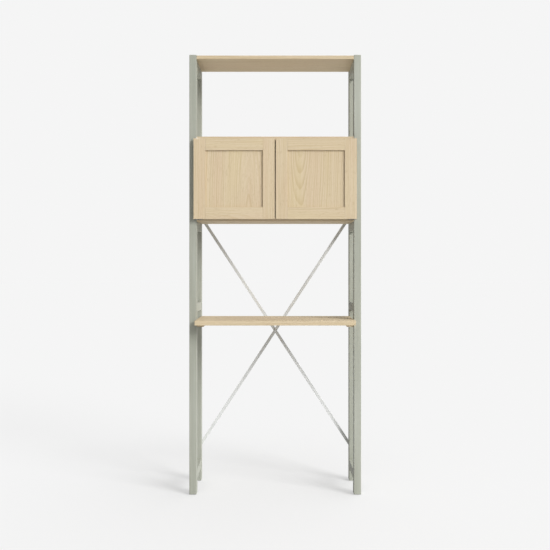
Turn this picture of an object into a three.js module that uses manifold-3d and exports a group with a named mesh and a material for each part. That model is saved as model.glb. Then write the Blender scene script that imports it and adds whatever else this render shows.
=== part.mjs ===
// Over-the-toilet storage rack: two ladder frames joined by a top shelf, a two-door cabinet,
// a middle shelf that stands out in front of the posts, and a crossed brace. Millimetres.
// +X is right, the front faces -Y, +Z is up. The dimensions measure Y from near the middle of
// the ladders, and the finished rack is then moved so that its whole depth is centred.
import * as THREE from 'three';
import { mergeVertices } from 'three/addons/utils/BufferGeometryUtils.js';
import Module from 'manifold-3d';

const wasm = await Module();
wasm.setup();

// ---- Driving dimensions ----
const GAP = 0.3;                 // clearance between pieces that touch
const BOARD = 14.7;              // thickness of the top shelf and the cabinet boards
const CUT = 5;                   // how far a cutting tool overshoots a face

// Ladder frames
const OUTER_HALF = 360;          // half of the overall width
const POST = 30;                 // width of a post
const POST_DEPTH = 42;           // front to rear
const INNER_HALF = OUTER_HALF - POST;
const HEIGHT = 1845;
const FRONT_POST_Y = [-120, -120 + POST_DEPTH];
const REAR_POST_Y = [130 - POST_DEPTH, 130];
const RUNG_HEIGHT = 36;
const RUNG_THICKNESS = 22;
const RUNG_CENTRES = [1809, 1129, 784, 79];
const TENON_LENGTH = 12;
const TENON_HEIGHT = 24;
const TENON_THICKNESS = 10;

// Foot glides
const GLIDE_RADIUS = 11;
const GLIDE_HEIGHT = 2;
const GLIDE_SHANK_RADIUS = 3;
const GLIDE_SHANK_LENGTH = 12;
const POST_BOTTOM = GLIDE_HEIGHT + GAP;

// Shelves
const BOARD_HALF = INNER_HALF - GAP;
const TAB_HALF = INNER_HALF + RUNG_THICKNESS;
const BOARD_BACK = 95;
const TOP_SHELF_FRONT = -119;
const MIDDLE_SHELF_TOP = 736;
const MIDDLE_SHELF_FRONT = -200;
const MIDDLE_SHELF_THICKNESS = 19.4;
const CLEAT_WIDTH = 28;
const CLEAT_HEIGHT = 12.5;
const CLEAT_Y = [-110, 122];

// Cabinet
const CABINET_FRONT = -119.5;
const CABINET_TOP = 1502;
const BACK_THICKNESS = 4;
const CARCASS_REAR = BOARD_BACK - BACK_THICKNESS - GAP;

// Doors
const DOOR_OUTER = 340;
const DOOR_INNER = 2;
const DOOR_Z = [1155.5, 1491.5];
const DOOR_FRONT = -141;
const DOOR_THICKNESS = 18;
const DOOR_REAR = DOOR_FRONT + DOOR_THICKNESS;
const DOOR_FRAME = 49.5;         // width of stiles and rails
const DOOR_CHAMFER = 3;          // on the edge that turns past the post
const PANEL_RECESS = 6;
const PANEL_THICKNESS = 6;
const PANEL_Y = [DOOR_FRONT + PANEL_RECESS, DOOR_FRONT + PANEL_RECESS + PANEL_THICKNESS];
const GROOVE_DEPTH = 8.3;
const TONGUE_LENGTH = 8;
const GROOVE_STOP = 20;          // the stile grooves end this far from the stile's ends

// Pivot hinges
const PIVOT_X = 331.5;
const PIVOT_Y = -132.5;
const LEAF_THICKNESS = 2;
const LEAF_RADIUS = 5.5;
const LEAF_LIFT = 0.5;           // between the door's edge and the leaf on the cabinet
const LEAF_ARM_X = [306, 324];
const LEAF_ARM_REAR = -97;
const LEAF_ARM_FRONT = -123;
const DOOR_LEAF_END = 297;
const PIN_RADIUS = 2.5;
const PIN_LENGTH = 12;

// Push latches
const LATCH_X = 20;
const LATCH_Z = 1480;
const LATCH_Y = [-117, -47];
const LATCH_WIDTH = 13;
const PLUNGER_RADIUS = 4;
const PLUNGER_TIP_RADIUS = 3;
const PLUNGER_TIP_LENGTH = 3;
const PLUNGER_REAR = -85;
const PLUNGER_TRAVEL = 3;

// Crossed brace
const BAR_WIDTH = 13;
const BAR_THICKNESS = 3;
const BAR_END_X = 345;
const BAR_END_Z = [141, 1197];
const BAR_OVERRUN = 9;           // bar beyond each end screw
const JOGGLE = BAR_THICKNESS + GAP;
const JOGGLE_FLAT = 30;
const JOGGLE_END = 60;
const BOLT_RADIUS = 3;
const BOLT_HEAD_RADIUS = 5.5;
const BOLT_HEAD_HEIGHT = 2.5;
const BOLT_TIP_Y = 141;
const NUT_RADIUS = 5.8;
const NUT_HEIGHT = 3.6;
const SCREW_RADIUS = 2;
const SCREW_HEAD_RADIUS = 4.5;
const SCREW_HEAD_HEIGHT = 2.4;
const SCREW_LENGTH = 21;

const ROUND = 28;                // sides of a small round piece

// ---- Materials ----
function material(color, roughness, metalness) {
  return () => new THREE.MeshStandardMaterial({ color, roughness, metalness });
}
const painted = material(0xb4b6aa, 0.55, 0.0);
const ash = material(0xd8c4a5, 0.5, 0.0);
const steel = material(0xb7b7b4, 0.38, 0.9);
const nickel = material(0xc2c0ba, 0.3, 0.95);
const darkPlastic = material(0x4a4a47, 0.6, 0.0);
const palePlastic = material(0xdad8d0, 0.45, 0.0);

// ---- Solid helpers ----
function solid(geometry) {
  const bare = geometry.index ? geometry.toNonIndexed() : geometry.clone();
  bare.deleteAttribute('normal');
  bare.deleteAttribute('uv');
  const merged = mergeVertices(bare, 1e-4);
  const index = merged.index.array;
  const kept = [];
  for (let i = 0; i < index.length; i += 3) {
    const [a, b, c] = [index[i], index[i + 1], index[i + 2]];
    if (a !== b && b !== c && c !== a) {
      kept.push(a, b, c);
    }
  }
  const mesh = new wasm.Mesh({
    numProp: 3,
    vertProperties: Float32Array.from(merged.attributes.position.array),
    triVerts: Uint32Array.from(kept),
  });
  return new wasm.Manifold(mesh);
}

function box(x, y, z) {
  const geometry = new THREE.BoxGeometry(Math.abs(x[1] - x[0]), y[1] - y[0], z[1] - z[0]);
  geometry.translate((x[0] + x[1]) / 2, (y[0] + y[1]) / 2, (z[0] + z[1]) / 2);
  return solid(geometry);
}

function prism(shape, z) {
  const options = { depth: z[1] - z[0], bevelEnabled: false, curveSegments: ROUND };
  const geometry = new THREE.ExtrudeGeometry(shape, options);
  geometry.translate(0, 0, z[0]);
  return solid(geometry);
}

function polygon(points) {
  return new THREE.Shape(points.map(([x, y]) => new THREE.Vector2(x, y)));
}

function uprightRod(radius, x, y, z) {
  const geometry = new THREE.CylinderGeometry(radius, radius, z[1] - z[0], ROUND);
  geometry.rotateX(Math.PI / 2);
  geometry.translate(x, y, (z[0] + z[1]) / 2);
  return solid(geometry);
}

function depthRod(radius, x, y, z, sides = ROUND) {
  const geometry = new THREE.CylinderGeometry(radius, radius, y[1] - y[0], sides);
  geometry.translate(x, (y[0] + y[1]) / 2, z);
  return solid(geometry);
}

function widen(range, amount) {
  return [range[0] - amount, range[1] + amount];
}

// A range of x on one side of the rack; side is -1 for left and +1 for right.
function onSide(side, near, far) {
  return side > 0 ? [near, far] : [-far, -near];
}

const rack = new THREE.Group();
rack.name = 'storage_rack';
rack.position.y = -(MIDDLE_SHELF_FRONT + BOLT_TIP_Y) / 2;

function addGroup(name, x = 0, y = 0, z = 0) {
  const group = new THREE.Group();
  group.name = name;
  group.position.set(x, y, z);
  rack.add(group);
  return group;
}

// Hangs a piece in a group: its geometry is centred on itself and the mesh carries the position.
function place(group, name, manifold, makeMaterial) {
  const mesh = manifold.getMesh();
  const geometry = new THREE.BufferGeometry();
  const positions = new THREE.BufferAttribute(Float32Array.from(mesh.vertProperties), 3);
  geometry.setAttribute('position', positions);
  geometry.setIndex(new THREE.BufferAttribute(Uint32Array.from(mesh.triVerts), 1));
  geometry.computeBoundingBox();
  const centre = geometry.boundingBox.getCenter(new THREE.Vector3());
  geometry.translate(-centre.x, -centre.y, -centre.z);
  const faceted = geometry.toNonIndexed();
  faceted.computeVertexNormals();
  const piece = new THREE.Mesh(faceted, makeMaterial());
  piece.name = name;
  piece.position.copy(centre).sub(group.position);
  group.add(piece);
}

const SIDES = [{ label: 'left', side: -1 }, { label: 'right', side: 1 }];
const POST_ROWS = [{ label: 'front', y: FRONT_POST_Y }, { label: 'rear', y: REAR_POST_Y }];
const RUNG_Y = [FRONT_POST_Y[1] + GAP, REAR_POST_Y[0] - GAP];
const TENON_NEAR = INNER_HALF + (RUNG_THICKNESS - TENON_THICKNESS) / 2;
const TENON_FAR = TENON_NEAR + TENON_THICKNESS;

// ---- Ladder frames ----
function mortise(side, row, centre) {
  const reach = TENON_LENGTH + GAP;
  const y = row.label === 'front'
    ? [row.y[1] - reach, row.y[1] + CUT]
    : [row.y[0] - CUT, row.y[0] + reach];
  const z = widen([centre - TENON_HEIGHT / 2, centre + TENON_HEIGHT / 2], GAP);
  return box(onSide(side, TENON_NEAR - GAP, TENON_FAR + GAP), y, z);
}

function post(side, row) {
  let body = box(onSide(side, INNER_HALF, OUTER_HALF), row.y, [POST_BOTTOM, HEIGHT]);
  for (const centre of RUNG_CENTRES) {
    body = body.subtract(mortise(side, row, centre));
  }
  const x = side * (OUTER_HALF - POST / 2);
  const y = (row.y[0] + row.y[1]) / 2;
  const boreTop = GLIDE_HEIGHT + GLIDE_SHANK_LENGTH + 1;
  body = body.subtract(uprightRod(GLIDE_SHANK_RADIUS + GAP, x, y, [0, boreTop]));
  if (row.label === 'rear') {
    for (const z of BAR_END_Z) {
      const boreFront = REAR_POST_Y[1] + JOGGLE - SCREW_LENGTH - 1;
      const pilot = [boreFront, REAR_POST_Y[1] + CUT];
      body = body.subtract(depthRod(SCREW_RADIUS + GAP, side * BAR_END_X, pilot, z));
    }
  }
  return body;
}

function glide(side, row) {
  const x = side * (OUTER_HALF - POST / 2);
  const y = (row.y[0] + row.y[1]) / 2;
  const pad = uprightRod(GLIDE_RADIUS, x, y, [0, GLIDE_HEIGHT]);
  const shankTop = GLIDE_HEIGHT + GLIDE_SHANK_LENGTH;
  return pad.add(uprightRod(GLIDE_SHANK_RADIUS, x, y, [GLIDE_HEIGHT / 2, shankTop]));
}

function rung(side, centre) {
  const x = onSide(side, INNER_HALF, INNER_HALF + RUNG_THICKNESS);
  const rail = box(x, RUNG_Y, [centre - RUNG_HEIGHT / 2, centre + RUNG_HEIGHT / 2]);
  const z = [centre - TENON_HEIGHT / 2, centre + TENON_HEIGHT / 2];
  return rail.add(box(onSide(side, TENON_NEAR, TENON_FAR), widen(RUNG_Y, TENON_LENGTH), z));
}

for (const { label, side } of SIDES) {
  const ladder = addGroup(`ladder_${label}`, side * (OUTER_HALF - POST / 2));
  for (const row of POST_ROWS) {
    place(ladder, `post_${row.label}_${label}`, post(side, row), painted);
    place(ladder, `foot_glide_${row.label}_${label}`, glide(side, row), darkPlastic);
  }
  RUNG_CENTRES.forEach((centre, i) => {
    place(ladder, `rung_${label}_${i + 1}`, rung(side, centre), painted);
  });
}

// ---- Boards ----
// A board that runs between the posts and widens among them to rest on a pair of rungs.
function tabbedBoard(front, rear, z) {
  const [tabFront, tabRear] = RUNG_Y;
  return prism(polygon([
    [-BOARD_HALF, front], [BOARD_HALF, front],
    [BOARD_HALF, tabFront], [TAB_HALF, tabFront],
    [TAB_HALF, tabRear], [BOARD_HALF, tabRear],
    [BOARD_HALF, rear], [-BOARD_HALF, rear],
    [-BOARD_HALF, tabRear], [-TAB_HALF, tabRear],
    [-TAB_HALF, tabFront], [-BOARD_HALF, tabFront],
  ]), z);
}

function rungTop(centre) {
  return centre + RUNG_HEIGHT / 2 + GAP;
}

const topShelfBottom = rungTop(RUNG_CENTRES[0]);
const topShelfZ = [topShelfBottom, topShelfBottom + BOARD];
const shelves = addGroup('shelves');
place(shelves, 'top_shelf', tabbedBoard(TOP_SHELF_FRONT, BOARD_BACK, topShelfZ), ash);

const middleZ = [MIDDLE_SHELF_TOP - MIDDLE_SHELF_THICKNESS, MIDDLE_SHELF_TOP];
const boardSpan = [-BOARD_HALF, BOARD_HALF];
place(shelves, 'middle_shelf', box(boardSpan, [MIDDLE_SHELF_FRONT, BOARD_BACK], middleZ), ash);
for (const { label, side } of SIDES) {
  const top = middleZ[0] - GAP;
  const x = onSide(side, BOARD_HALF - CLEAT_WIDTH, BOARD_HALF);
  place(shelves, `shelf_cleat_${label}`, box(x, CLEAT_Y, [top - CLEAT_HEIGHT, top]), ash);
}

// ---- Cabinet ----
const bottomZ = [rungTop(RUNG_CENTRES[1]), rungTop(RUNG_CENTRES[1]) + BOARD];
const topZ = [CABINET_TOP - BOARD, CABINET_TOP];
const leafAbove = [DOOR_Z[1] + LEAF_LIFT, DOOR_Z[1] + LEAF_LIFT + LEAF_THICKNESS];
const leafBelow = [DOOR_Z[0] - LEAF_LIFT - LEAF_THICKNESS, DOOR_Z[0] - LEAF_LIFT];

function leafSlot(side, z) {
  const x = onSide(side, LEAF_ARM_X[0] - GAP, LEAF_ARM_X[1] + GAP);
  return box(x, [CABINET_FRONT - CUT, LEAF_ARM_REAR + GAP], widen(z, GAP));
}

const cabinet = addGroup('cabinet', 0, 0, (bottomZ[0] + topZ[1]) / 2);
let cabinetTop = box(boardSpan, [CABINET_FRONT, CARCASS_REAR], topZ);
let cabinetBottom = tabbedBoard(CABINET_FRONT, CARCASS_REAR, bottomZ);
for (const { side } of SIDES) {
  cabinetTop = cabinetTop.subtract(leafSlot(side, leafAbove));
  cabinetBottom = cabinetBottom.subtract(leafSlot(side, leafBelow));
}
place(cabinet, 'cabinet_top', cabinetTop, ash);
place(cabinet, 'cabinet_bottom', cabinetBottom, ash);
const sideZ = [bottomZ[1] + GAP, topZ[0] - GAP];
for (const { label, side } of SIDES) {
  const x = onSide(side, BOARD_HALF - BOARD, BOARD_HALF);
  place(cabinet, `cabinet_side_${label}`, box(x, [CABINET_FRONT, CARCASS_REAR], sideZ), ash);
}
const backY = [BOARD_BACK - BACK_THICKNESS, BOARD_BACK];
place(cabinet, 'cabinet_back', box(boardSpan, backY, [bottomZ[0], topZ[1]]), ash);

// ---- Doors ----
const panelX = [DOOR_INNER + DOOR_FRAME, DOOR_OUTER - DOOR_FRAME];
const panelZ = [DOOR_Z[0] + DOOR_FRAME, DOOR_Z[1] - DOOR_FRAME];
const grooveY = widen(PANEL_Y, GAP);
const stileGrooveZ = widen(DOOR_Z, -GROOVE_STOP);

function doorLeafShape(side, grow) {
  const shape = new THREE.Shape();
  const x = side * PIVOT_X;
  const radius = LEAF_RADIUS + grow;
  const end = side * (DOOR_LEAF_END - grow);
  const start = side > 0 ? -Math.PI / 2 : Math.PI / 2;
  shape.moveTo(end, PIVOT_Y - side * radius);
  shape.lineTo(x, PIVOT_Y - side * radius);
  shape.absarc(x, PIVOT_Y, radius, start, start + Math.PI, false);
  shape.lineTo(end, PIVOT_Y + side * radius);
  return shape;
}

function outerStile(side) {
  const near = panelX[1];
  let body = prism(polygon([
    [side * near, DOOR_FRONT],
    [side * DOOR_OUTER, DOOR_FRONT],
    [side * DOOR_OUTER, DOOR_REAR - DOOR_CHAMFER],
    [side * (DOOR_OUTER - DOOR_CHAMFER), DOOR_REAR],
    [side * near, DOOR_REAR],
  ]), DOOR_Z);
  body = body.subtract(box(onSide(side, near - CUT, near + GROOVE_DEPTH), grooveY, stileGrooveZ));
  const sink = LEAF_THICKNESS + 2 * GAP;
  const boreDepth = PIN_LENGTH + 1;
  const low = DOOR_Z[0];
  const high = DOOR_Z[1];
  const recess = doorLeafShape(side, GAP);
  body = body.subtract(prism(recess, [high - sink, high + CUT]));
  body = body.subtract(prism(recess, [low - CUT, low + sink]));
  const x = side * PIVOT_X;
  const boreRadius = PIN_RADIUS + 2 * GAP;
  body = body.subtract(uprightRod(boreRadius, x, PIVOT_Y, [high - boreDepth, high + CUT]));
  return body.subtract(uprightRod(boreRadius, x, PIVOT_Y, [low - CUT, low + boreDepth]));
}

function innerStile(side) {
  const far = panelX[0];
  const body = box(onSide(side, DOOR_INNER, far), [DOOR_FRONT, DOOR_REAR], DOOR_Z);
  return body.subtract(box(onSide(side, far - GROOVE_DEPTH, far + CUT), grooveY, stileGrooveZ));
}

// A rail with a tongue at each end that enters the stile grooves, and a groove for the panel.
function doorRail(side, isTop) {
  const edge = isTop ? panelZ[1] : panelZ[0];
  const railZ = isTop ? [edge, DOOR_Z[1]] : [DOOR_Z[0], edge];
  const x = onSide(side, panelX[0] + GAP, panelX[1] - GAP);
  const rail = box(x, [DOOR_FRONT, DOOR_REAR], railZ);
  const tongueZ = isTop
    ? [edge, DOOR_Z[1] - GROOVE_STOP - GAP]
    : [DOOR_Z[0] + GROOVE_STOP + GAP, edge];
  const tongue = box(widen(x, TONGUE_LENGTH - GAP), PANEL_Y, tongueZ);
  const grooveZ = isTop ? [edge - CUT, edge + GROOVE_DEPTH] : [edge - GROOVE_DEPTH, edge + CUT];
  return rail.add(tongue).subtract(box(widen(x, 2 * TONGUE_LENGTH), grooveY, grooveZ));
}

function doorPanel(side) {
  const tuck = GROOVE_DEPTH - 2 * GAP;
  return box(onSide(side, panelX[0] - tuck, panelX[1] + tuck), PANEL_Y, widen(panelZ, tuck));
}

function doorLeaf(side, z) {
  const bore = uprightRod(PIN_RADIUS + GAP, side * PIVOT_X, PIVOT_Y, widen(z, CUT));
  return prism(doorLeafShape(side, 0), z).subtract(bore);
}

// The leaf let into the cabinet board, with the pivot pin standing on it.
function cabinetLeaf(side, z, pinUp) {
  const shape = new THREE.Shape();
  const x = side * PIVOT_X;
  const start = side > 0 ? -Math.PI / 2 : Math.PI / 2;
  const first = side > 0 ? [LEAF_ARM_X[0], LEAF_ARM_FRONT] : [LEAF_ARM_X[1], LEAF_ARM_FRONT];
  const last = side > 0 ? [LEAF_ARM_X[1], LEAF_ARM_FRONT] : [LEAF_ARM_X[0], LEAF_ARM_FRONT];
  shape.moveTo(side * first[0], LEAF_ARM_REAR);
  shape.lineTo(side * first[0], first[1]);
  shape.lineTo(x, PIVOT_Y - side * LEAF_RADIUS);
  shape.absarc(x, PIVOT_Y, LEAF_RADIUS, start, start + Math.PI, false);
  shape.lineTo(side * last[0], last[1]);
  shape.lineTo(side * last[0], LEAF_ARM_REAR);
  const middle = (z[0] + z[1]) / 2;
  const pinZ = pinUp ? [middle, z[1] + PIN_LENGTH] : [z[0] - PIN_LENGTH, middle];
  return prism(shape, z).add(uprightRod(PIN_RADIUS, x, PIVOT_Y, pinZ));
}

for (const { label, side } of SIDES) {
  const door = addGroup(`${label}_door`, side * PIVOT_X, PIVOT_Y, (DOOR_Z[0] + DOOR_Z[1]) / 2);
  place(door, `${label}_door_outer_stile`, outerStile(side), ash);
  place(door, `${label}_door_inner_stile`, innerStile(side), ash);
  place(door, `${label}_door_top_rail`, doorRail(side, true), ash);
  place(door, `${label}_door_bottom_rail`, doorRail(side, false), ash);
  place(door, `${label}_door_panel`, doorPanel(side), ash);
  const upper = [DOOR_Z[1] - GAP - LEAF_THICKNESS, DOOR_Z[1] - GAP];
  const lower = [DOOR_Z[0] + GAP, DOOR_Z[0] + GAP + LEAF_THICKNESS];
  place(door, `${label}_door_upper_leaf`, doorLeaf(side, upper), nickel);
  place(door, `${label}_door_lower_leaf`, doorLeaf(side, lower), nickel);
  place(cabinet, `${label}_cabinet_upper_leaf`, cabinetLeaf(side, leafAbove, false), nickel);
  place(cabinet, `${label}_cabinet_lower_leaf`, cabinetLeaf(side, leafBelow, true), nickel);
}

// ---- Push latches under the cabinet top ----
for (const { label, side } of SIDES) {
  const x = side * LATCH_X;
  const housingZ = [topZ[0] - GAP - LATCH_WIDTH, topZ[0] - GAP];
  const housing = box([x - LATCH_WIDTH / 2, x + LATCH_WIDTH / 2], LATCH_Y, housingZ);
  const boreEnd = PLUNGER_REAR + PLUNGER_TRAVEL + 1;
  const bore = depthRod(PLUNGER_RADIUS + GAP, x, [LATCH_Y[0] - CUT, boreEnd], LATCH_Z);
  place(cabinet, `${label}_latch_housing`, housing.subtract(bore), palePlastic);
  const tip = DOOR_REAR + GAP;
  const shoulder = tip + PLUNGER_TIP_LENGTH;
  const barrel = depthRod(PLUNGER_RADIUS, x, [shoulder, PLUNGER_REAR], LATCH_Z);
  const nose = depthRod(PLUNGER_TIP_RADIUS, x, [tip, shoulder + 1], LATCH_Z);
  place(cabinet, `${label}_latch_plunger`, barrel.add(nose), darkPlastic);
}

// ---- Crossed brace behind the rear posts ----
const barRise = BAR_END_Z[1] - BAR_END_Z[0];
const barHalf = Math.hypot(2 * BAR_END_X, barRise) / 2;
const barAngle = Math.atan2(barRise, 2 * BAR_END_X);
const crossZ = (BAR_END_Z[0] + BAR_END_Z[1]) / 2;
const barFaceY = REAR_POST_Y[1] + GAP;
const braceGroup = addGroup('brace', 0, barFaceY, crossZ);

function barPlan() {
  const end = barHalf + BAR_OVERRUN - BAR_WIDTH / 2;
  const shape = new THREE.Shape();
  shape.moveTo(-end, -BAR_WIDTH / 2);
  shape.lineTo(end, -BAR_WIDTH / 2);
  shape.absarc(end, 0, BAR_WIDTH / 2, -Math.PI / 2, Math.PI / 2, false);
  shape.lineTo(-end, BAR_WIDTH / 2);
  shape.absarc(-end, 0, BAR_WIDTH / 2, Math.PI / 2, 3 * Math.PI / 2, false);
  const holes = [[-barHalf, SCREW_RADIUS], [0, BOLT_RADIUS], [barHalf, SCREW_RADIUS]];
  for (const [along, radius] of holes) {
    const hole = new THREE.Path();
    hole.absarc(along, 0, radius + GAP, 0, 2 * Math.PI, true);
    shape.holes.push(hole);
  }
  return shape;
}

// The side view of a bar: flat, or lifted by the joggle where it crosses the other bar.
function barProfile(lift) {
  const end = barHalf + 2 * BAR_OVERRUN;
  const path = [[-end, 0], [-JOGGLE_END, 0], [-JOGGLE_FLAT, lift]];
  const line = path.concat(path.map(([along, height]) => [-along, height]).reverse());
  const back = line.map(([along, height]) => [along, height + BAR_THICKNESS]).reverse();
  return polygon(line.concat(back));
}

function brace(angle, lift) {
  const slab = prism(barPlan(), [-1, 4 * BAR_THICKNESS]);
  const options = { depth: 2 * BAR_WIDTH, bevelEnabled: false };
  const profile = new THREE.ExtrudeGeometry(barProfile(lift), options);
  profile.translate(0, 0, -BAR_WIDTH);
  profile.rotateX(Math.PI / 2);
  const flat = slab.intersect(solid(profile));
  const degrees = THREE.MathUtils.radToDeg(angle);
  return flat.rotate([-90, 0, 0]).rotate([0, -degrees, 0]).translate([0, barFaceY, crossZ]);
}

place(braceGroup, 'brace_bar_front', brace(barAngle, 0), steel);
place(braceGroup, 'brace_bar_rear', brace(-barAngle, JOGGLE), steel);

const boltHeadY = [barFaceY - GAP - BOLT_HEAD_HEIGHT, barFaceY - GAP];
const boltHead = depthRod(BOLT_HEAD_RADIUS, 0, boltHeadY, crossZ);
const boltShank = depthRod(BOLT_RADIUS, 0, [boltHeadY[0] + 1, BOLT_TIP_Y], crossZ);
place(braceGroup, 'brace_bolt', boltHead.add(boltShank), nickel);
const nutFront = barFaceY + BAR_THICKNESS + JOGGLE + GAP;
const nutBody = depthRod(NUT_RADIUS, 0, [nutFront, nutFront + NUT_HEIGHT], crossZ, 6);
const nutBore = depthRod(BOLT_RADIUS + GAP, 0, widen([nutFront, nutFront + NUT_HEIGHT], CUT), crossZ);
place(braceGroup, 'brace_nut', nutBody.subtract(nutBore), nickel);

for (const { label, side } of SIDES) {
  BAR_END_Z.forEach((z, i) => {
    const seat = barFaceY + BAR_THICKNESS + GAP;
    const head = depthRod(SCREW_HEAD_RADIUS, side * BAR_END_X, [seat, seat + SCREW_HEAD_HEIGHT], z);
    const shank = depthRod(SCREW_RADIUS, side * BAR_END_X, [seat - SCREW_LENGTH, seat + 1], z);
    const level = i === 0 ? 'lower' : 'upper';
    place(braceGroup, `brace_screw_${level}_${label}`, head.add(shank), nickel);
  });
}

export default rack;
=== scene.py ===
"""Over-the-toilet storage rack: looks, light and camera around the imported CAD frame."""
import math
import random

import bmesh
import bpy
from mathutils import Matrix, Vector


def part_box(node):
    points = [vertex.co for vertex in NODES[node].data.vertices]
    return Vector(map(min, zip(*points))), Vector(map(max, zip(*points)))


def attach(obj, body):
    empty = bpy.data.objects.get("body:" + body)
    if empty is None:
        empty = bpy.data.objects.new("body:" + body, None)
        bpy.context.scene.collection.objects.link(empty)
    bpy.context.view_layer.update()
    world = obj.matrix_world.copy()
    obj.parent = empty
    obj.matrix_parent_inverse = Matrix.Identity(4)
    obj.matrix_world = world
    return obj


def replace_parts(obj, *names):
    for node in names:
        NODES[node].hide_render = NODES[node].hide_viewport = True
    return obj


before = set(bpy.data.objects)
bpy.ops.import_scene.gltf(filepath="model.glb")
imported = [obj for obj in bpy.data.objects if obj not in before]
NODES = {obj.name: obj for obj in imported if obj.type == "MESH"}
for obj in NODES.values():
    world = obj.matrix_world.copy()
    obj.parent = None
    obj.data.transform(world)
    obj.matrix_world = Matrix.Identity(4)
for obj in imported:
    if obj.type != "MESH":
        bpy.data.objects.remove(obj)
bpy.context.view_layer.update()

MM = 0.001
SIDES = {"left": -1, "right": 1}


# ---------------------------------------------------------------- node trees
# reach of the paler edges on wood, on paint, and on metal and plastic: partly wear, partly a painted
# highlight
WOOD_EDGE = 1.2 * MM
PAINT_EDGE = 1.8 * MM
SMALL_EDGE = 0.8 * MM
EDGE_SAMPLES = 4
FLAT_FACE = 0.995                # cosine between the rounded and the true normal: no edge yet
FULL_EDGE = 0.85                 # the cosine where an edge counts in full


class Tree:
    """A short way to write a node tree. A value is a constant or another node's output."""

    def __init__(self, node_tree):
        self.nodes = node_tree.nodes
        self.links = node_tree.links
        self.nodes.clear()

    def feed(self, socket, value):
        if isinstance(value, bpy.types.NodeSocket):
            self.links.new(value, socket)
        else:
            socket.default_value = value

    def feed_all(self, sockets, values):
        for socket, value in zip(sockets, values):
            self.feed(socket, value)

    def math(self, operation, a, b=0.0, c=0.0):
        node = self.nodes.new("ShaderNodeMath")
        node.operation = operation
        self.feed_all(node.inputs, (a, b, c))
        return node.outputs[0]

    def times(self, a, b):
        return self.math("MULTIPLY", a, b)

    def total(self, base, *terms):
        """base plus each term's value times its amount; a term is (value, amount)."""
        for value, amount in terms:
            base = self.math("MULTIPLY_ADD", value, amount, base)
        return base

    def sway(self, base, *terms):
        """base, moved by each noise's distance from its middle value times its amount."""
        centred = [(self.math("SUBTRACT", noise, 0.5), amount) for noise, amount in terms]
        return self.total(base, *centred)

    def vector(self, x, y, z):
        node = self.nodes.new("ShaderNodeCombineXYZ")
        self.feed_all(node.inputs, (x, y, z))
        return node.outputs[0]

    def dot(self, a, b):
        node = self.nodes.new("ShaderNodeVectorMath")
        node.operation = "DOT_PRODUCT"
        self.feed_all(node.inputs, (a, b))
        return node.outputs["Value"]

    def noise(self, vector, scale=1.0, detail=2.0):
        node = self.nodes.new("ShaderNodeTexNoise")
        self.feed(node.inputs["Vector"], vector)
        node.inputs["Scale"].default_value = scale
        node.inputs["Detail"].default_value = detail
        return node.outputs["Fac"]

    def stretch(self, value, low, high, to_low=0.0, to_high=1.0):
        """Takes low to to_low and high to to_high, smoothly between them."""
        node = self.nodes.new("ShaderNodeMapRange")
        node.interpolation_type = "SMOOTHSTEP"
        names = ("Value", "From Min", "From Max", "To Min", "To Max")
        self.feed_all([node.inputs[name] for name in names], (value, low, high, to_low, to_high))
        return node.outputs["Result"]

    def ramp(self, value, stops):
        """Colours along a value; a stop is (place, colour)."""
        node = self.nodes.new("ShaderNodeValToRGB")
        elements = node.color_ramp.elements
        while len(elements) < len(stops):
            elements.new(0.5)
        for element, (place, color) in zip(elements, stops):
            element.position = place
            element.color = (*color, 1.0)
        self.feed(node.inputs["Fac"], value)
        return node.outputs["Color"]

    def mix(self, factor, a, b):
        """Colour a, turning to colour b as the factor rises."""
        node = self.nodes.new("ShaderNodeMix")
        node.data_type = "RGBA"
        self.feed(node.inputs["Factor"], factor)
        colors = [socket for socket in node.inputs if socket.type == "RGBA"]
        for socket, value in zip(colors, (a, b)):
            self.feed(socket, value if isinstance(value, bpy.types.NodeSocket) else (*value, 1.0))
        return next(socket for socket in node.outputs if socket.type == "RGBA")

    def camera_ray(self):
        """1 for what the camera sees directly, 0 for light that reaches other surfaces."""
        return self.nodes.new("ShaderNodeLightPath").outputs["Is Camera Ray"]


class Surface(Tree):
    """The node tree of a new material."""

    def __init__(self, name):
        self.material = bpy.data.materials.new(name)
        self.material.use_nodes = True
        super().__init__(self.material.node_tree)
        self.shader = self.nodes.new("ShaderNodeBsdfPrincipled")
        output = self.nodes.new("ShaderNodeOutputMaterial")
        self.links.new(self.shader.outputs[0], output.inputs["Surface"])

    def position(self):
        """The point in the object's own space, split into x, y and z."""
        coordinates = self.nodes.new("ShaderNodeTexCoord")
        split = self.nodes.new("ShaderNodeSeparateXYZ")
        self.links.new(coordinates.outputs["Object"], split.inputs[0])
        return split.outputs

    def edges(self, radius):
        """1 along convex and concave edges, 0 on flat faces."""
        bevel = self.nodes.new("ShaderNodeBevel")
        bevel.samples = EDGE_SAMPLES
        bevel.inputs["Radius"].default_value = radius
        geometry = self.nodes.new("ShaderNodeNewGeometry")
        cosine = self.dot(bevel.outputs[0], geometry.outputs["Normal"])
        return self.stretch(cosine, FLAT_FACE, FULL_EDGE)

    def bump(self, height, distance, strength):
        node = self.nodes.new("ShaderNodeBump")
        node.inputs["Strength"].default_value = strength
        node.inputs["Distance"].default_value = distance
        self.feed(node.inputs["Height"], height)
        self.links.new(node.outputs[0], self.shader.inputs["Normal"])

    def set(self, **values):
        """Sets the shader's inputs by name, with _ for each space."""
        for name, value in values.items():
            self.feed(self.shader.inputs[name.replace("_", " ")], value)


def srgb(*channels):
    """A linear colour from 8-bit display values, each above 10."""
    return tuple(((value / 255 + 0.055) / 1.055) ** 2.4 for value in channels)


def scaled(color, amount):
    return tuple(value * amount for value in color)


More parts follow.
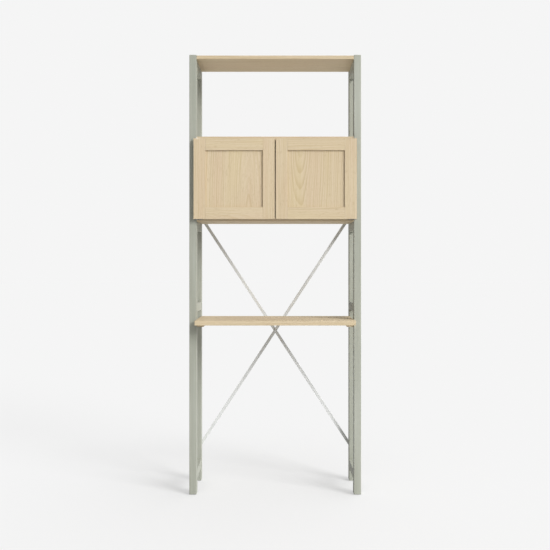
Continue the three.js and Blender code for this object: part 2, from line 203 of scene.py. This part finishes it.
# ---------------------------------------------------------------- materials
AXES = {"X": 0, "Y": 1, "Z": 2}
ASH_LIGHT = srgb(203, 187, 160)
ASH_MID = srgb(196, 179, 149)
ASH_DARK = srgb(176, 154, 119)
ASH_PORE = srgb(146, 119, 84)
ASH_PINK = srgb(195, 170, 143)
ASH_STRAW = srgb(201, 185, 144)
# name: (repeats per metre across the grain, along it, detail, offset from the other patterns)
ASH_PATTERNS = {
    "wander": (7.0, 1.6, 2.0, 0.0),
    "wobble": (30.0, 5.0, 2.0, 3.0),
    "fibres": (760.0, 11.0, 3.0, 11.0),
    "bands": (150.0, 2.4, 4.0, 17.0),
    "clouds": (6.0, 2.2, 2.0, 23.0),
    "pores": (1150.0, 42.0, 1.0, 29.0),
    "hue": (13.0, 1.7, 2.0, 37.0),
}
WANDER_ACROSS = 0.045            # how far the trunk's middle wanders, in metres
WANDER_BELOW = 0.030
WOBBLE_RINGS = 0.55              # how uneven the rings are, as a share of their spacing


def late_wood(tree, across, below, spacing, wobble, seed):
    """Growth rings around a pith: 0 in early wood, rising towards 1 where a ring ends."""
    squares = tree.total(tree.times(below, below), (across, across))
    rings = tree.math("DIVIDE", tree.math("SQRT", squares), spacing)
    rings = tree.total(rings, (wobble, WOBBLE_RINGS))
    phase = tree.math("FRACT", rings)
    late = tree.times(tree.stretch(phase, 0.25, 0.88), tree.stretch(phase, 1.0, 0.90))
    ring_number = tree.math("FLOOR", rings)
    ring_tone = tree.noise(tree.vector(ring_number, seed, 0.0), scale=7.3, detail=0.0)
    return tree.times(late, tree.stretch(ring_tone, 0.30, 0.65, 0.35, 1.0))


def ash(name, along, across, pith, spacing, slope, contrast):
    """Ash veneer: growth rings cut by the board, fibres, open pores and slow tone changes.

    along and across are the axes of the grain and of the board's width. pith is (across, below
    the face) in metres from the board's centre, and spacing is the rings', in metres. slope tilts
    the trunk so that the rings close into arches on the face. contrast is how dark late wood is.
    """
    tree = Surface(name)
    chance = random.Random(name)
    shift = [chance.uniform(-50, 50) for _ in range(3)]
    depth = next(axis for axis in AXES if axis not in (along, across))
    low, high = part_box(name)
    centre = (low + high) / 2
    point = tree.position()
    # the point's place: u from the pith across the board, v and w from the centre, through and along it
    u = tree.math("SUBTRACT", point[AXES[across]], centre[AXES[across]] + pith[0])
    v = tree.math("SUBTRACT", point[AXES[depth]], centre[AXES[depth]])
    w = tree.math("SUBTRACT", point[AXES[along]], centre[AXES[along]])

    def streaks(fine, slow, detail, offset):
        return tree.noise(tree.vector(
            tree.total(shift[0] + offset, (u, fine)),
            tree.total(shift[1], (v, fine)),
            tree.total(shift[2], (w, slow)),
        ), detail=detail)

    pattern = {key: streaks(*numbers) for key, numbers in ASH_PATTERNS.items()}
    fibres, bands = pattern["fibres"], pattern["bands"]
    below = tree.math("ADD", tree.total(pith[1], (w, slope)), v)
    late = late_wood(
        tree,
        tree.sway(u, (pattern["wander"], WANDER_ACROSS)),
        tree.sway(below, (pattern["wander"], WANDER_BELOW)),
        spacing, pattern["wobble"], shift[0],
    )
    pores = tree.stretch(pattern["pores"], 0.60, 0.74)
    pores = tree.times(pores, tree.stretch(late, 0.55, 0.05, 0.25, 1.0))

    tone = tree.total(0.20, (late, contrast))
    tone = tree.sway(tone, (bands, 0.95), (pattern["clouds"], 0.45), (fibres, 0.55))
    color = tree.ramp(tone, ((0.0, ASH_LIGHT), (0.35, ASH_MID), (1.0, ASH_DARK)))
    color = tree.mix(tree.stretch(pattern["hue"], 0.50, 0.72, 0.0, 0.34), color, ASH_PINK)
    color = tree.mix(tree.stretch(pattern["hue"], 0.50, 0.28, 0.0, 0.28), color, ASH_STRAW)
    color = tree.mix(tree.times(pores, 0.55), color, ASH_PORE)
    # paler edges: partly wear, partly a painted highlight along the rounded edges
    color = tree.mix(tree.times(tree.edges(WOOD_EDGE), 0.16), color, ASH_LIGHT)
    roughness = tree.total(0.58, (late, -0.07), (bands, 0.08), (pores, 0.15))
    height = tree.total(0.5, (late, 0.35), (fibres, 0.30))
    height = tree.math("SUBTRACT", height, tree.times(pores, 0.8))
    tree.set(Base_Color=color, Roughness=roughness, IOR=1.45, Specular_IOR_Level=0.18)
    tree.bump(height, 0.22 * MM, 0.55)
    return tree.material


PAINT = srgb(163, 165, 153)
PAINT_PALE = srgb(176, 178, 168)
PAINT_DEEP = srgb(152, 154, 142)
# laid out as ASH_PATTERNS is
PAINT_PATTERNS = {
    "fibres": (520.0, 9.0, 3.0, 0.0),
    "figure": (85.0, 3.0, 2.0, 5.0),
    "clouds": (6.0, 3.0, 2.0, 9.0),
    "orange_peel": (900.0, 900.0, 1.0, 13.0),
    "scuffs": (38.0, 30.0, 3.0, 21.0),
    "wear_and_highlight": (60.0, 25.0, 3.0, 31.0),
}


def sage_paint(name, along, shade=1.0):
    """Satin sage-grey paint, with the wood's grain and the brush's marks showing faintly through."""
    # shade scales the whole paint darker; on the left-hand posts this is painted shade for the weaker
    # light there
    deep, middle, pale = (scaled(color, shade) for color in (PAINT_DEEP, PAINT, PAINT_PALE))
    tree = Surface(name)
    chance = random.Random(name)
    shift = [chance.uniform(-40, 40) for _ in range(3)]
    point = tree.position()

    def grain(fine, slow, detail, offset):
        parts = [
            tree.total(shift[i] + offset, (point[i], slow if axis == along else fine))
            for axis, i in AXES.items()
        ]
        return tree.noise(tree.vector(*parts), detail=detail)

    pattern = {key: grain(*numbers) for key, numbers in PAINT_PATTERNS.items()}
    fibres, figure = pattern["fibres"], pattern["figure"]
    scuffs = tree.stretch(pattern["scuffs"], 0.57, 0.74)
    # paler edges, varied by a noise: partly wear, partly a painted highlight along the rounded edges
    worn_and_highlit = tree.times(tree.edges(PAINT_EDGE), tree.stretch(pattern["wear_and_highlight"], 0.35, 0.7, 0.25, 1.0))
    tone = tree.sway(0.5, (fibres, 0.75), (figure, 0.85), (pattern["clouds"], 0.55))
    color = tree.ramp(tone, ((0.0, deep), (0.5, middle), (1.0, pale)))
    color = tree.mix(tree.times(worn_and_highlit, 0.45), color, pale)
    color = tree.mix(tree.times(scuffs, 0.10), color, pale)
    roughness = tree.total(0.42, (figure, 0.12), (scuffs, 0.10), (worn_and_highlit, -0.06))
    height = tree.total(tree.times(pattern["orange_peel"], 0.20), (fibres, 0.55), (figure, 0.40))
    tree.set(Base_Color=color, Roughness=roughness, IOR=1.5, Specular_IOR_Level=0.25)
    tree.bump(height, 0.20 * MM, 0.5)
    return tree.material


LINE_STRETCH = 0.02              # repeats along the brush lines, as a share of those across them
SMUDGE_ALONG = 22.0              # repeats per metre along the brush lines
SMUDGE_ACROSS = 60.0


def brushed_metal(name, tint, along, base_roughness, grain=1400.0, metallic=1.0, mottle=0.12,
                  relief=0.5):
    """Metal with fine brush lines along a direction in the x-z plane, and faint handling marks.

    A metallic value below 1 stands for a dull grey coat of zinc over the steel. grain is how many
    brush lines there are per metre, mottle is how much the tone varies, and relief is how deep the
    lines are.
    """
    tree = Surface(name)
    shift = random.Random(name).uniform(-30, 30)
    x, y, z = tree.position()
    cos, sin = along
    run = tree.total(tree.times(z, sin), (x, cos))
    over = tree.total(tree.times(z, cos), (x, -sin))
    lines = tree.noise(tree.vector(
        tree.total(shift, (run, grain * LINE_STRETCH)),
        tree.total(shift, (over, grain)),
        tree.times(y, grain),
    ), detail=3.0)
    smudges = tree.noise(tree.vector(
        tree.total(shift, (run, SMUDGE_ALONG)),
        tree.times(over, SMUDGE_ACROSS),
        tree.times(y, SMUDGE_ACROSS),
    ), detail=3.0)
    dark, pale = scaled(tint, 1.0 - mottle), scaled(tint, 1.0 + mottle * 0.67)
    color = tree.ramp(tree.sway(smudges, (lines, 0.35)), ((0.25, dark), (0.5, tint), (0.8, pale)))
    # paler edges: partly wear, partly a painted highlight along the rounded edges
    color = tree.mix(tree.times(tree.edges(SMALL_EDGE), 0.5), color, pale)
    roughness = tree.total(base_roughness - 0.10, (lines, 0.12), (smudges, 0.14))
    tree.set(Base_Color=color, Metallic=metallic, Roughness=roughness)
    tree.bump(lines, 0.06 * MM, relief)
    return tree.material


def moulded_plastic(name, tint, seed, base_roughness=0.5):
    """Plastic with a fine spark-eroded texture and paler edges, partly wear and partly a painted
    highlight.
    """
    tree = Surface(name)
    x, y, z = tree.position()
    where = tree.vector(tree.math("ADD", x, random.Random(seed).uniform(-30, 30)), y, z)
    texture = tree.noise(where, scale=2600.0, detail=2.0)
    patches = tree.noise(where, scale=90.0, detail=3.0)
    pale = tuple(value * 1.25 + 0.01 for value in tint)
    color = tree.ramp(patches, ((0.25, scaled(tint, 0.85)), (0.75, tint)))
    # paler edges: partly wear, partly a painted highlight along the rounded edges
    color = tree.mix(tree.times(tree.edges(SMALL_EDGE), 0.4), color, pale)
    roughness = tree.total(base_roughness - 0.08, (patches, 0.16))
    tree.set(Base_Color=color, Roughness=roughness, Specular_IOR_Level=0.4)
    tree.bump(texture, 0.05 * MM, 0.5)
    return tree.material


# ---------------------------------------------------------------- carried-over CAD nodes
EASE_PAINTED = 1.6 * MM
EASE_WOOD = 0.9 * MM
EASE_PLASTIC = 0.9 * MM
EASE_BAR = 0.35 * MM
EASE_LEAF = EASE_BAR / 2
WELD_DISTANCE = 0.01 * MM
SHARP_EDGE = 40                  # degrees: the edges that are eased turn by more than this


def dress(name, material, ease, segments=3):
    """Gives a CAD node its material and eased edges."""
    node = NODES[name]
    node.data.materials.clear()
    node.data.materials.append(material)
    weld = node.modifiers.new("weld", "WELD")
    weld.merge_threshold = WELD_DISTANCE
    bevel = node.modifiers.new("eased edges", "BEVEL")
    bevel.width = ease
    bevel.segments = segments
    bevel.limit_method = "ANGLE"
    bevel.angle_limit = math.radians(SHARP_EDGE)
    bevel.use_clamp_overlap = True


RUNGS = 4                        # on each side
# painted shade: how light each post's paint is, as a share of the plain paint; the left-hand posts are
# made darker to stand in for the weaker light on them
POST_PAINTED_SHADE = {
    "post_front_left": 0.91,
    "post_rear_left": 0.96,
    "post_front_right": 1.0,
    "post_rear_right": 1.0,
}
for post, shade in POST_PAINTED_SHADE.items():
    dress(post, sage_paint(post, "Z", shade), EASE_PAINTED)
for side_name in SIDES:
    for number in range(1, RUNGS + 1):
        rung = f"rung_{side_name}_{number}"
        dress(rung, sage_paint(rung, "Y"), EASE_PAINTED)

# name: grain along, width across, (pith across, pith below), ring spacing, trunk slope
BOARDS = {
    "top_shelf": ("X", "Y", (0.03, 0.055), 0.0075, 0.05),
    "middle_shelf": ("X", "Y", (-0.04, 0.050), 0.0070, -0.06),
    "shelf_cleat_left": ("Y", "Z", (0.03, 0.040), 0.0060, 0.05),
    "shelf_cleat_right": ("Y", "Z", (-0.02, 0.050), 0.0060, 0.05),
    "cabinet_top": ("X", "Y", (0.02, 0.048), 0.0075, 0.06),
    "cabinet_bottom": ("X", "Y", (-0.03, 0.052), 0.0070, 0.05),
    "cabinet_side_left": ("Z", "Y", (0.02, 0.045), 0.0070, 0.10),
    "cabinet_side_right": ("Z", "Y", (-0.02, 0.050), 0.0075, -0.10),
    "cabinet_back": ("Z", "X", (0.06, 0.060), 0.0085, 0.12),
    "left_door_outer_stile": ("Z", "X", (-0.060, 0.050), 0.0065, 0.04),
    "left_door_inner_stile": ("Z", "X", (0.070, 0.045), 0.0065, 0.03),
    "left_door_top_rail": ("X", "Z", (0.050, 0.050), 0.0065, 0.05),
    "left_door_bottom_rail": ("X", "Z", (-0.015, 0.030), 0.0070, 0.07),
    "left_door_panel": ("Z", "X", (0.066, 0.022), 0.0085, 0.13),
    "right_door_outer_stile": ("Z", "X", (0.055, 0.050), 0.0065, 0.03),
    "right_door_inner_stile": ("Z", "X", (-0.060, 0.040), 0.0065, 0.05),
    "right_door_top_rail": ("X", "Z", (-0.040, 0.050), 0.0065, -0.04),
    "right_door_bottom_rail": ("X", "Z", (0.045, 0.040), 0.0065, 0.05),
    "right_door_panel": ("Z", "X", (-0.064, 0.024), 0.0085, -0.12),
}
BOARD_CONTRAST = 0.34
PANEL_CONTRAST = 0.46
for board, (along, across, pith, spacing, slope) in BOARDS.items():
    contrast = PANEL_CONTRAST if board.endswith("_panel") else BOARD_CONTRAST
    dress(board, ash(board, along, across, pith, spacing, slope, contrast), EASE_WOOD)

ZINC = (0.685, 0.695, 0.685)
ZINC_LOOK = {"base_roughness": 0.58, "metallic": 0.15, "mottle": 0.05, "relief": 0.12}
NICKEL = (0.66, 0.65, 0.62)
DULL_NICKEL = (0.46, 0.44, 0.40)
HOUSING_WHITE = srgb(206, 203, 194)
ALONG_X = (1.0, 0.0)             # a direction in the x-z plane
for bar, lean in (("brace_bar_front", 1), ("brace_bar_rear", -1)):
    low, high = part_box(bar)
    length = math.hypot(high.x - low.x, high.z - low.z)
    direction = ((high.x - low.x) / length, lean * (high.z - low.z) / length)
    dress(bar, brushed_metal(bar, ZINC, direction, **ZINC_LOOK), EASE_BAR, 2)
for side_name in SIDES:
    for place in ("upper", "lower"):
        for owner in ("door", "cabinet"):
            leaf = f"{side_name}_{owner}_{place}_leaf"
            dress(leaf, brushed_metal(leaf, DULL_NICKEL, ALONG_X, 0.40), EASE_LEAF, 2)
    housing = f"{side_name}_latch_housing"
    dress(housing, moulded_plastic(housing, HOUSING_WHITE, housing), EASE_PLASTIC)


# ---------------------------------------------------------------- turned pieces
RING = 48                        # points round a turned piece
ROUNDING = 1e-9                  # metres, far below any real size
CROSS_ARM = math.tan(math.radians(22.5))    # half the width of a cross's arm, as a share of its reach
SOFT_EDGE = 35                   # degrees: edges that turn by less than this are shaded smooth
UP = (0, 0, 1)
DOWN = (0, 0, -1)
FORWARD = (0, -1, 0)
BACKWARD = (0, 1, 0)


def add_object(name, data):
    thing = bpy.data.objects.new(name, data)
    bpy.context.scene.collection.objects.link(thing)
    return thing


def ring_radius(shape, radius, angle):
    """Distance from the axis to a round, hexagonal or cross-shaped outline."""
    if shape == "hex":
        sixth = math.radians(60)
        return radius * math.cos(sixth / 2) / math.cos((angle % sixth) - sixth / 2)
    if shape == "cross":
        c, s = abs(math.cos(angle)), abs(math.sin(angle))
        c, s = max(c, s), min(c, s)
        arm = CROSS_ARM * radius
        return radius / c if radius * s / c <= arm + ROUNDING else arm / s
    return radius


def add_turned(bm, stations, origin, axis, closed):
    """Adds a turned solid. stations are (shape, radius, height along the axis), in metres.

    A solid that isn't closed into a loop starts and ends on its axis, at a radius of 0.
    """
    turn = Vector(axis).to_track_quat("Z", "Y").to_matrix().to_4x4()
    place = Matrix.Translation(Vector(origin)) @ turn
    rings = []
    for shape, radius, height in stations:
        ring = []
        for k in range(RING if radius > 0 else 1):
            angle = 2 * math.pi * k / RING
            r = ring_radius(shape, radius, angle)
            ring.append(bm.verts.new(place @ Vector((r * math.cos(angle), r * math.sin(angle), height))))
        rings.append(ring)
    pairs = list(zip(rings, rings[1:]))
    if closed:
        pairs.append((rings[-1], rings[0]))
    for first, second in pairs:
        for k in range(RING):
            n = (k + 1) % RING
            if len(first) == 1:
                bm.faces.new((first[0], second[k], second[n]))
            elif len(second) == 1:
                bm.faces.new((first[k], second[0], first[n]))
            else:
                bm.faces.new((first[k], second[k], second[n], first[n]))


def turned(name, solids, body, material, closed=False):
    """One piece made of several turned solids; a solid is (stations, origin, axis)."""
    bm = bmesh.new()
    for stations, origin, axis in solids:
        add_turned(bm, stations, origin, axis, closed)
    bmesh.ops.recalc_face_normals(bm, faces=bm.faces)
    mesh = bpy.data.meshes.new(name)
    bm.to_mesh(mesh)
    bm.free()
    mesh.polygons.foreach_set("use_smooth", [True] * len(mesh.polygons))
    mesh.set_sharp_from_angle(angle=math.radians(SOFT_EDGE))
    mesh.materials.append(material)
    piece = add_object(name, mesh)
    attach(piece, body)
    return piece


def detail(node, solids, body, material, closed=False):
    """A detailed piece that stands for a CAD node."""
    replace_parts(turned(node + "_detailed", solids, body, material, closed), node)


def rounds(*points):
    """Round stations; a point is (radius, height)."""
    return [("round", radius, height) for radius, height in points]


def dome_head(radius, height, recess, shape):
    """Stations of a low domed head seated at 0, with a driver recess, pointing up the axis."""
    dome = rounds(
        (0, 0),
        (radius * 0.96, 0),
        (radius, height * 0.15),
        (radius * 0.985, height * 0.38),
        (radius * 0.88, height * 0.70),
        (radius * 0.68, height * 0.92),
        (recess * 1.12, height),
    )
    hole = [(shape, recess, height * 0.97), (shape, recess * 0.9, height * 0.30)]
    return dome + hole + rounds((0, height * 0.22))


THREAD_PITCH = 0.9 * MM
HEAD_OVERLAP = 0.05 * MM         # how far below its head's seat a shank starts


def shank(radius, reach):
    """Stations of a threaded shank that goes down the axis to reach, tapering at its tip."""
    stations = rounds((0, -HEAD_OVERLAP), (radius * 0.92, -HEAD_OVERLAP))
    turns = int((reach - HEAD_OVERLAP - 2 * radius) / THREAD_PITCH)
    for k in range(turns):
        base = -HEAD_OVERLAP - k * THREAD_PITCH
        stations += rounds(
            (radius * 0.80, base - 0.15 * THREAD_PITCH),
            (radius, base - 0.55 * THREAD_PITCH),
            (radius * 0.80, base - 0.95 * THREAD_PITCH),
        )
    return stations + rounds((radius * 0.25, 0.1 * MM - reach), (0, -reach))


nickel_round = brushed_metal("nickel round", NICKEL, ALONG_X, 0.28, 900.0)
glide_plastic = moulded_plastic("glide plastic", srgb(70, 70, 67), "glide", 0.55)
plunger_plastic = moulded_plastic("plunger plastic", srgb(84, 84, 80), "plunger", 0.45)

# Brace screws: pan heads behind the bars, shanks into the rear posts.
SCREW_HEAD = 2.4 * MM
SCREW_SHANK = 2.0 * MM
SCREW_RECESS = 0.52              # the recess's reach, as a share of the head's radius
for side_name in SIDES:
    for level in ("lower", "upper"):
        node = f"brace_screw_{level}_{side_name}"
        low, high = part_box(node)
        radius = (high.x - low.x) / 2
        seat = ((low.x + high.x) / 2, high.y - SCREW_HEAD, (low.z + high.z) / 2)
        head = dome_head(radius, SCREW_HEAD, radius * SCREW_RECESS, "cross")
        stem = shank(SCREW_SHANK, seat[1] - low.y)
        detail(node, [(head, seat, BACKWARD), (stem, seat, BACKWARD)], "frame", nickel_round)

# Centre bolt: button head in front with a hexagon socket, nut behind.
BOLT_HEAD = 2.5 * MM
BOLT_SOCKET = 2.2 * MM
BOLT_SHANK = 3.0 * MM
low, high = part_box("brace_bolt")
seat = (0, low.y + BOLT_HEAD, (low.z + high.z) / 2)
head = dome_head((high.x - low.x) / 2, BOLT_HEAD, BOLT_SOCKET, "hex")
stem = shank(BOLT_SHANK, high.y - seat[1])
detail("brace_bolt", [(head, seat, FORWARD), (stem, seat, FORWARD)], "frame", nickel_round)

NUT_BORE = 3.3 * MM
NUT_MOUTH = 3.8 * MM
NUT_MOUTH_DEPTH = 0.4 * MM
NUT_CHAMFER = 0.55 * MM
NUT_FACE = 0.88                  # radius of the round end faces, as a share of the corners'
nut_low, nut_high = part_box("brace_nut")
corner = (nut_high.z - nut_low.z) / 2
thick = nut_high.y - nut_low.y
nut = [
    *rounds((NUT_BORE, NUT_MOUTH_DEPTH), (NUT_MOUTH, 0), (corner * NUT_FACE, 0)),
    ("hex", corner, NUT_CHAMFER),
    ("hex", corner, thick - NUT_CHAMFER),
    *rounds((corner * NUT_FACE, thick), (NUT_MOUTH, thick), (NUT_BORE, thick - NUT_MOUTH_DEPTH)),
]
nut_place = (0, nut_low.y, seat[2])
detail("brace_nut", [(nut, nut_place, BACKWARD)], "frame", nickel_round, closed=True)

# Foot glides: soft-edged pads with their shanks up in the posts.
GLIDE_PAD = 2.0 * MM
GLIDE_SHANK = 3.0 * MM
GLIDE_TIP = 2.2 * MM
for side_name in SIDES:
    for row in ("front", "rear"):
        node = f"foot_glide_{row}_{side_name}"
        low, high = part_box(node)
        radius = (high.x - low.x) / 2
        glide = rounds(
            (0, 0.25 * MM), (radius * 0.62, 0.20 * MM), (radius * 0.74, 0), (radius * 0.90, 0),
            (radius * 0.98, 0.4 * MM), (radius, 0.9 * MM), (radius, GLIDE_PAD * 0.75),
            (radius * 0.96, GLIDE_PAD), (GLIDE_SHANK, GLIDE_PAD), (GLIDE_SHANK, high.z - 1.0 * MM),
            (GLIDE_TIP, high.z), (0, high.z),
        )
        centre = ((low.x + high.x) / 2, (low.y + high.y) / 2, 0)
        detail(node, [(glide, centre, UP)], "frame", glide_plastic)

# Latch plungers: stepped rods with a narrower magnet tip and a shallow groove.
TIP_LENGTH = 3.0 * MM
GROOVE_START = 9.0 * MM
GROOVE_END = 10.6 * MM
GROOVE_SLOPE = 0.3 * MM
PLUNGER_CHAMFER = 0.6 * MM
for side_name in SIDES:
    node = f"{side_name}_latch_plunger"
    low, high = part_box(node)
    radius = (high.x - low.x) / 2
    length = high.y - low.y
    plunger = rounds(
        (0, 0), (radius * 0.62, 0), (radius * 0.72, 0.3 * MM), (radius * 0.75, 2.6 * MM),
        (radius * 0.80, TIP_LENGTH), (radius * 0.93, 3.05 * MM), (radius, 3.6 * MM),
        (radius, GROOVE_START), (radius * 0.94, GROOVE_START + GROOVE_SLOPE),
        (radius * 0.94, GROOVE_END - GROOVE_SLOPE), (radius, GROOVE_END),
        (radius, length - PLUNGER_CHAMFER), (radius * 0.9, length), (0, length),
    )
    centre = ((low.x + high.x) / 2, low.y, (low.z + high.z) / 2)
    detail(node, [(plunger, centre, BACKWARD)], node, plunger_plastic)

# ---------------------------------------------------------------- small fixings
FLUSH = 0.35 * MM                # how far a screw's head stands above its seat


def fixings(name, stations, seats, body):
    """Identical small fixings as one piece; a seat is (point on the face, outward axis)."""
    solids = [(stations, point, axis) for point, axis in seats]
    turned(name, solids, body, nickel_round)


def screw(radius):
    """Stations of a countersunk cross-head screw, barely proud of a face at 0."""
    outside = rounds(
        (0, -1.2 * MM), (radius * 0.6, -1.2 * MM), (radius, 0),
        (radius * 0.97, FLUSH * 0.7), (radius * 0.85, FLUSH), (radius * 0.60, FLUSH),
    )
    recess = [("cross", radius * 0.52, FLUSH * 0.9), ("cross", radius * 0.42, -0.9 * MM)]
    return outside + recess + rounds((0, -1.0 * MM))


def middle_y(node):
    low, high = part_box(node)
    return (low.y + high.y) / 2


BOARD_SCREW = screw(4.0 * MM)
LATCH_SCREW = screw(2.6 * MM)
LEAF_SCREW = screw(2.4 * MM)
STRIKE = rounds(
    (0, -0.6 * MM), (7.0 * MM, -0.6 * MM), (7.0 * MM, 0.02 * MM), (6.7 * MM, 0.12 * MM),
    (1.6 * MM, 0.12 * MM), (1.2 * MM, -0.2 * MM), (0, -0.2 * MM),
)
FRONT_POST_Y = middle_y("post_front_right")
REAR_POST_Y = middle_y("post_rear_right")
CLEAT_SCREW_INSET = 4 * MM       # from the middle of each post, towards the other post
SIDE_SCREW_INSET = 30 * MM       # from the top and the bottom of a cabinet side
LATCH_SCREW_INSET = 14 * MM      # from the rear of a latch housing
LEAF_SCREW_INSETS = (6 * MM, 18 * MM)       # from the inner end of a hinge leaf
for side_name, side in SIDES.items():
    inward = (-side, 0, 0)
    low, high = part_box(f"shelf_cleat_{side_name}")
    face = low.x if side > 0 else high.x
    middle = (low.z + high.z) / 2
    places = (FRONT_POST_Y + CLEAT_SCREW_INSET, REAR_POST_Y - CLEAT_SCREW_INSET)
    seats = [((face, y, middle), inward) for y in places]
    fixings(f"cleat_screws_{side_name}", BOARD_SCREW, seats, "frame")

    low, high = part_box(f"cabinet_side_{side_name}")
    face = low.x if side > 0 else high.x
    heights = (low.z + SIDE_SCREW_INSET, (low.z + high.z) / 2, high.z - SIDE_SCREW_INSET)
    seats = [((face, FRONT_POST_Y, z), inward) for z in heights]
    fixings(f"cabinet_side_screws_{side_name}", BOARD_SCREW, seats, "frame")

    low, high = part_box(f"{side_name}_latch_housing")
    seat = ((low.x + high.x) / 2, high.y - LATCH_SCREW_INSET, low.z)
    fixings(f"{side_name}_latch_screw", LATCH_SCREW, [(seat, DOWN)], "frame")

    for place, outward in (("upper", UP), ("lower", DOWN)):
        low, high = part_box(f"{side_name}_door_{place}_leaf")
        # sunk, so that the heads end at the leaf's face
        level = high.z - FLUSH if outward == UP else low.z + FLUSH
        inner_end = low.x if side > 0 else high.x
        middle = (low.y + high.y) / 2
        seats = [((inner_end + side * inset, middle, level), outward) for inset in LEAF_SCREW_INSETS]
        fixings(f"{side_name}_door_{place}_leaf_screws", LEAF_SCREW, seats, f"{side_name}_door")

    # Thin steel strike let into the back of the door, opposite the latch.
    low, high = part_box(f"{side_name}_latch_plunger")
    door_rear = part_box(f"{side_name}_door_inner_stile")[1].y
    seat = ((low.x + high.x) / 2, door_rear, (low.z + high.z) / 2)
    fixings(f"{side_name}_latch_strike", STRIKE, [(seat, BACKWARD)], f"{side_name}_door")

# Pins that hold the cabinet back to the carcass.
PIN = rounds(
    (0, -0.8 * MM), (1.3 * MM, -0.8 * MM), (1.5 * MM, 0.05 * MM), (1.2 * MM, 0.28 * MM), (0, 0.34 * MM),
)
PIN_INSET = 7 * MM               # from the edges of the back
PIN_COLUMNS = 8                  # pins along the top and along the bottom
PIN_SPACES = 4                   # spaces between the pins up each side
low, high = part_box("cabinet_back")
left, right = low.x + PIN_INSET, high.x - PIN_INSET
bottom, top = low.z + PIN_INSET, high.z - PIN_INSET
pins = []
for k in range(PIN_COLUMNS):
    x = left + (right - left) * k / (PIN_COLUMNS - 1)
    pins += [((x, high.y, z), BACKWARD) for z in (bottom, top)]
for k in range(1, PIN_SPACES):
    z = bottom + (top - bottom) * k / PIN_SPACES
    pins += [((x, high.y, z), BACKWARD) for x in (left, right)]
fixings("cabinet_back_pins", PIN, pins, "frame")

# ---------------------------------------------------------------- studio
WHITE = (1.0, 1.0, 1.0, 1.0)
PAPER = 0.914                    # brightness of the seamless paper behind the rack
ROOM = 0.05                      # light from the dark side of the studio
BACKDROP = 0.45                  # light that the backdrop sends forward
OVERHEAD = 1.2                   # light from the soft boxes above
# where the light comes from, the cosine to it where it starts, the weakest and the strongest light
SOFT_LIGHTS = (
    ((0.40, 0.92, 0.0), -0.3, ROOM, BACKDROP),
    ((0.45, -0.25, 0.86), 0.1, 0.0, OVERHEAD),
)
KEY_AZIMUTH = 50                 # degrees to the right of the front
KEY_ELEVATION = 25               # degrees
KEY_SIZE = 26                    # degrees across
KEY_STRENGTH = 2.8
KEY_DISTANCE = 4                 # metres; a sun's light is the same from any distance
FLOOR_BOUNCE = 0.64              # share of the light that the floor sends back to the rack
# what the picture shows of the floor: a share of the light on it, and the paper sweep's own glow,
# each (by the rack, further away)
FLOOR_SHADING = (0.40, 0.16)
FLOOR_GLOW = (0.424, 0.718)
FLOOR_NEAR = 0.35                # metres from the rack's middle
FLOOR_FAR = 1.5
FLOOR_HALF = 40.0                # metres from the middle of the floor to each side
CAMERA_PLACE = (0.0, -3.2905, 0.964)
CAMERA_SHIFT = (-0.0004, -0.0182)
LENS = 50.0                      # millimetres
SENSOR = 36.0                    # millimetres across


def studio_floor():
    bm = bmesh.new()
    corners = [(-1, -1), (1, -1), (1, 1), (-1, 1)]
    bm.faces.new([bm.verts.new((x * FLOOR_HALF, y * FLOOR_HALF, 0)) for x, y in corners])
    mesh = bpy.data.meshes.new("studio_floor")
    bm.to_mesh(mesh)
    bm.free()
    tree = Surface("studio floor")
    x, y, _ = tree.position()
    distance = tree.math("SQRT", tree.total(tree.times(y, y), (x, x)))
    shading = tree.stretch(distance, FLOOR_NEAR, FLOOR_FAR, *FLOOR_SHADING)
    glow = tree.stretch(distance, FLOOR_NEAR, FLOOR_FAR, *FLOOR_GLOW)
    seen = tree.camera_ray()
    tree.set(
        Base_Color=tree.mix(seen, (FLOOR_BOUNCE,) * 3, shading),
        Roughness=1.0,
        Specular_IOR_Level=0.0,
        Emission_Color=WHITE,
        Emission_Strength=tree.times(seen, glow),
    )
    mesh.materials.append(tree.material)
    add_object("studio_floor", mesh)


def soft_light():
    """Soft light on the rack, and plain paper where the camera looks past it."""
    world = bpy.data.worlds.new("studio")
    bpy.context.scene.world = world
    world.use_nodes = True
    tree = Tree(world.node_tree)
    direction = tree.nodes.new("ShaderNodeTexCoord").outputs["Generated"]
    lights = [
        tree.stretch(tree.dot(direction, Vector(toward).normalized()), start, 1.0, weakest, strongest)
        for toward, start, weakest, strongest in SOFT_LIGHTS
    ]
    shaders = []
    for strength in (tree.math("ADD", *lights), PAPER):
        background = tree.nodes.new("ShaderNodeBackground")
        tree.feed_all(background.inputs, (WHITE, strength))
        shaders.append(background.outputs[0])
    choose = tree.nodes.new("ShaderNodeMixShader")
    tree.feed_all(choose.inputs, (tree.camera_ray(), *shaders))
    output = tree.nodes.new("ShaderNodeOutputWorld")
    tree.links.new(choose.outputs[0], output.inputs["Surface"])


def key_light():
    azimuth, elevation = math.radians(KEY_AZIMUTH), math.radians(KEY_ELEVATION)
    level = math.cos(elevation)
    toward = Vector((level * math.sin(azimuth), -level * math.cos(azimuth), math.sin(elevation)))
    sun = bpy.data.lights.new("key", "SUN")
    sun.energy = KEY_STRENGTH
    sun.angle = math.radians(KEY_SIZE)
    key = add_object("key", sun)
    key.rotation_mode = "QUATERNION"
    key.rotation_quaternion = toward.to_track_quat("Z", "Y")
    key.location = toward * KEY_DISTANCE


def studio_camera():
    data = bpy.data.cameras.new("camera")
    data.lens = LENS
    data.sensor_width = SENSOR
    data.shift_x, data.shift_y = CAMERA_SHIFT
    camera = add_object("camera", data)
    camera.location = CAMERA_PLACE
    camera.rotation_euler = (math.radians(90), 0.0, 0.0)
    bpy.context.scene.camera = camera


studio_floor()
soft_light()
key_light()
studio_camera()
bpy.context.scene.view_settings.view_transform = "Standard"
bpy.context.scene.view_settings.look = "None"
